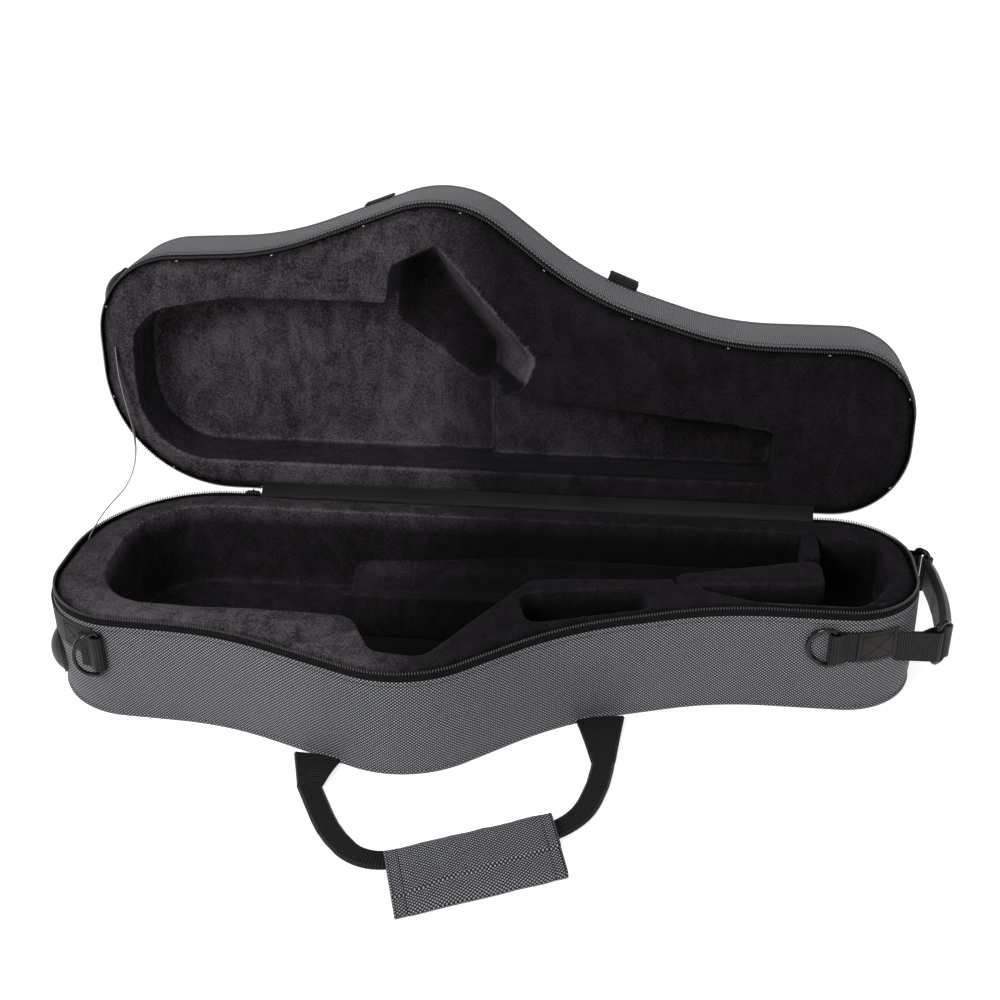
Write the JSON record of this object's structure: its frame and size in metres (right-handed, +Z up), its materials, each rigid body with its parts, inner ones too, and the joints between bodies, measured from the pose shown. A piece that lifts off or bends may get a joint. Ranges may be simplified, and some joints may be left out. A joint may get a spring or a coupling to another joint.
{
  "type": "alto saxophone case",
  "caption": "Contoured soft case in two zipped halves with a shaped plush cradle, recessed lid liner, carry and end handles, strap rings and feet, standing open.",
  "frame": {"origin": "middle of the flat bottom of the base, on the surface that it stands on, halfway along and 125 mm in front of the hinge line", "axes": "+X runs along the case towards the narrow end, +Y to the hinge at the back, +Z up"},
  "size_m": [0.6991, 0.489, 0.3395],
  "materials": {
    "woven_cover": "two-tone woven fabric, black with rows of grey dots",
    "welt": "fabric-covered piping",
    "plush": "short mottled plush",
    "foam": "closed-cell foam",
    "panel": "stiff board",
    "zipper_tape": "ribbed tape",
    "zipper_chain": "moulded coil",
    "webbing": "ribbed webbing",
    "ring_metal": "glossy black enamel",
    "foot_rubber": "satin rubber",
    "clip_plastic": "glossy moulded plastic",
    "grip_band": "smooth coated band",
    "ribbon": "thin satin ribbon"
  },
  "bodies": {
    "base": {"base_panel_cover": "woven_cover", "base_panel": "panel", "base_welt": "welt", "base_side_cover": "woven_cover", "base_foam_wall": "foam", "base_zipper_tape": "zipper_tape", "base_zipper_chain": "zipper_chain", "base_hinge_band": "zipper_tape", "base_liner": "plush", "channel_divider": "plush", "channel_end_pad": "plush", "body_saddle": "plush", "hinge_fold": "zipper_tape", "hinge_gusset": "plush", "left_ring_band": "webbing", "left_ring_loop": "webbing", "right_ring_band": "webbing", "base_foot_front": "foot_rubber", "base_foot_rear": "foot_rubber", "handle_tab_left": "webbing", "handle_tab_right": "webbing", "front_anchor_patch": "webbing", "rear_anchor_patch": "webbing", "end_web_front": "webbing", "end_web_rear": "webbing", "stay_ribbon": "ribbon"},
    "lid": {"lid_panel_cover": "woven_cover", "lid_panel": "panel", "lid_welt": "welt", "lid_side_cover": "woven_cover", "lid_foam_wall": "foam", "lid_zipper_tape": "zipper_tape", "lid_zipper_chain": "zipper_chain", "lid_hinge_band": "zipper_tape", "lid_liner": "plush", "lid_foot_front": "foot_rubber", "lid_foot_rear": "foot_rubber", "lid_tab_left": "webbing", "lid_tab_right": "webbing"},
    "lid_strap": {"lid_strap": "webbing"},
    "carry_handle": {"carry_strap": "webbing", "carry_grip": "woven_cover"},
    "end_handle": {"end_grip": "grip_band", "end_clip_front": "clip_plastic", "end_clip_rear": "clip_plastic"},
    "left_ring": {"left_d_ring": "ring_metal"},
    "right_ring": {"right_d_ring": "ring_metal"},
    "left_slider": {"left_slider": "ring_metal"},
    "right_slider": {"right_slider": "ring_metal"},
    "left_pull": {"left_pull": "ring_metal"},
    "right_pull": {"right_pull": "ring_metal"}
  },
  "joints": [
    {"name": "lid_hinge", "type": "hinge", "parent": "base", "child": "lid", "pos_m": [0, 0.125, 0.09], "axis": [1, 0, 0], "range_deg": [0, 95], "deforming": ["hinge_gusset", "stay_ribbon"]},
    {"name": "carry_handle_swing", "type": "hinge", "parent": "base", "child": "carry_handle", "pos_m": [-0.00497, -0.10009, 0.0024], "axis": [-0.9649, -0.2625, 0], "range_deg": [0, 60], "deforming": ["handle_tab_left", "handle_tab_right"]},
    {"name": "lid_strap_swing", "type": "hinge", "parent": "lid", "child": "lid_strap", "pos_m": [-0.00591, 0.2192, 0.29476], "axis": [0.9547, -0.0259, -0.2963], "range_deg": [-3, 150], "deforming": ["lid_tab_left", "lid_tab_right"]},
    {"name": "end_handle_swing", "type": "hinge", "parent": "base", "child": "end_handle", "pos_m": [0.316, 0.05375, 0.06], "axis": [0, -1, 0], "range_deg": [0, 35], "deforming": ["end_web_front", "end_web_rear"]},
    {"name": "left_ring_swing", "type": "hinge", "parent": "base", "child": "left_ring", "pos_m": [-0.27846, -0.08108, 0.06], "axis": [0, 0, 1], "range_deg": [-28, 100]},
    {"name": "right_ring_swing", "type": "hinge", "parent": "base", "child": "right_ring", "pos_m": [0.267, -0.0216, 0.06], "axis": [0, 0, 1], "range_deg": [0, 150]},
    {"name": "left_slider_travel", "type": "slide", "parent": "base", "child": "left_slider", "axis": [-1, 0, 0], "range_m": [0, 0.01]},
    {"name": "right_slider_travel", "type": "slide", "parent": "base", "child": "right_slider", "axis": [1, 0, 0], "range_m": [0, 0.012]},
    {"name": "left_pull_swing", "type": "hinge", "parent": "left_slider", "child": "left_pull", "pos_m": [-0.21406, 0.1284, 0.0851], "axis": [1, 0, 0], "range_deg": [0, 70]},
    {"name": "right_pull_swing", "type": "hinge", "parent": "right_slider", "child": "right_pull", "pos_m": [0.25192, 0.1284, 0.0851], "axis": [1, 0, 0], "range_deg": [0, 70]}
  ]
}
